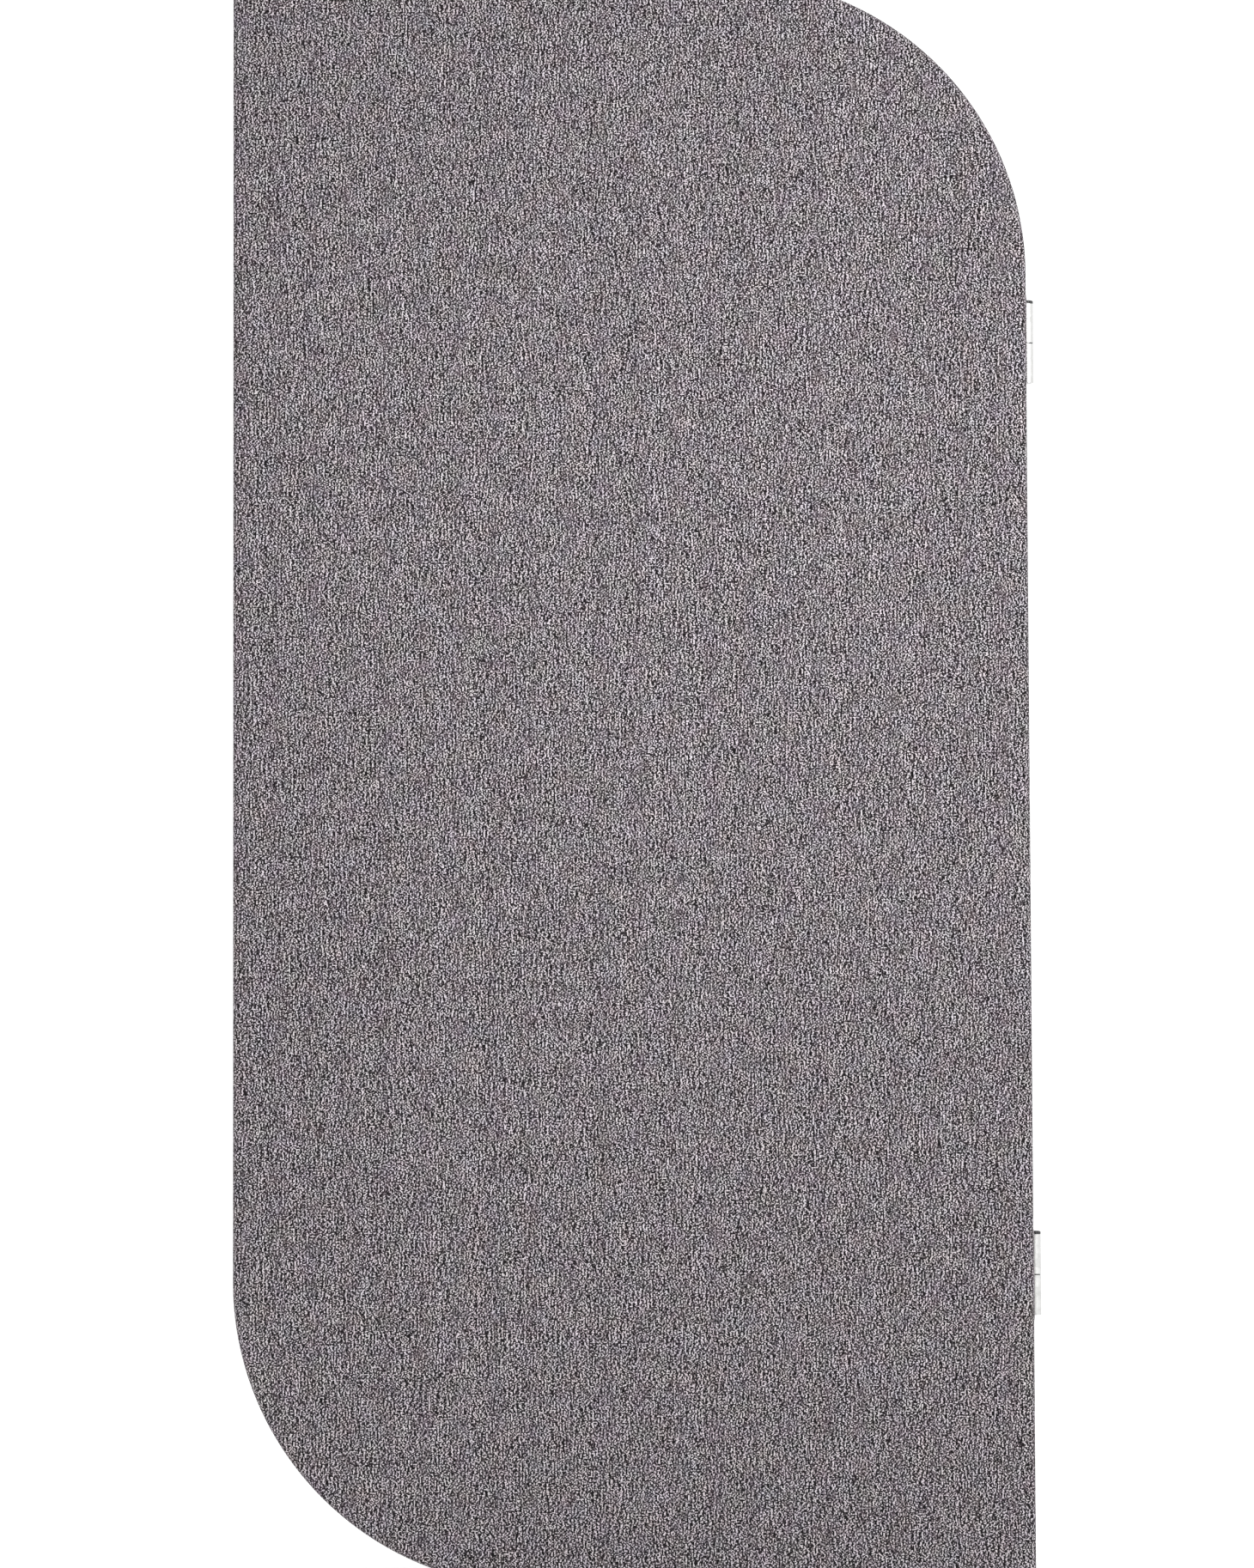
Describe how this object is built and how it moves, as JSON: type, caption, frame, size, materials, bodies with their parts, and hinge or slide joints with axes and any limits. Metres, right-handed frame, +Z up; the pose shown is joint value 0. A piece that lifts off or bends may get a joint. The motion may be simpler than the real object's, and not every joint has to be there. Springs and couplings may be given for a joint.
{
  "type": "acoustic divider screen",
  "caption": "Folding acoustic divider screen: fabric-covered panels with large round corners, on lift-off hinges, standing folded shut on flat glides.",
  "frame": {"origin": "on the floor, under the middle of the folded screen's outline with its hinge barrels", "axes": "+Z up, +X along the width towards the hinges, -Y towards the viewer of the front panel"},
  "size_m": [0.7996, 0.083, 1.605],
  "materials": {
    "cover_fabric": "matte",
    "padding_felt": "matte",
    "acoustic_felt": "matte",
    "frame_timber": "matte",
    "dowel_wood": "matte",
    "hinge_steel": "polished",
    "pin_steel": "satin",
    "screw_steel": "satin",
    "dark_nylon": "satin"
  },
  "bodies": {
    "front_panel": {"front_hinge_stile": "frame_timber", "front_free_stile": "frame_timber", "front_top_rail": "frame_timber", "front_bottom_rail": "frame_timber", "front_mid_rail": "frame_timber", "front_top_corner": "frame_timber", "front_bottom_corner": "frame_timber", "front_frame_dowels": "dowel_wood", "front_upper_core": "acoustic_felt", "front_lower_core": "acoustic_felt", "front_outer_padding": "padding_felt", "front_inner_padding": "padding_felt", "front_outer_cover": "cover_fabric", "front_inner_cover": "cover_fabric", "front_glides": "dark_nylon", "front_glide_screws": "screw_steel", "front_hinge_screws": "screw_steel", "upper_hinge_pin_leaf": "hinge_steel", "upper_hinge_pin": "pin_steel", "lower_hinge_pin_leaf": "hinge_steel", "lower_hinge_pin": "pin_steel"},
    "hinge_washers": {"upper_hinge_washer": "dark_nylon", "lower_hinge_washer": "dark_nylon"},
    "rear_panel": {"rear_hinge_stile": "frame_timber", "rear_free_stile": "frame_timber", "rear_top_rail": "frame_timber", "rear_bottom_rail": "frame_timber", "rear_mid_rail": "frame_timber", "rear_top_corner": "frame_timber", "rear_bottom_corner": "frame_timber", "rear_frame_dowels": "dowel_wood", "rear_upper_core": "acoustic_felt", "rear_lower_core": "acoustic_felt", "rear_outer_padding": "padding_felt", "rear_inner_padding": "padding_felt", "rear_outer_cover": "cover_fabric", "rear_inner_cover": "cover_fabric", "rear_glides": "dark_nylon", "rear_glide_screws": "screw_steel", "rear_hinge_screws": "screw_steel", "upper_hinge_socket_leaf": "hinge_steel", "upper_hinge_cap": "dark_nylon", "lower_hinge_socket_leaf": "hinge_steel", "lower_hinge_cap": "dark_nylon"}
  },
  "joints": [
    {"name": "fold", "type": "hinge", "parent": "front_panel", "child": "hinge_washers", "pos_m": [0.39475, 0, 0], "axis": [0, 0, -1], "range_deg": [0, 180]},
    {"name": "lift_off", "type": "slide", "parent": "hinge_washers", "child": "rear_panel", "axis": [0, 0, 1], "range_m": [0, 0.045]}
  ]
}
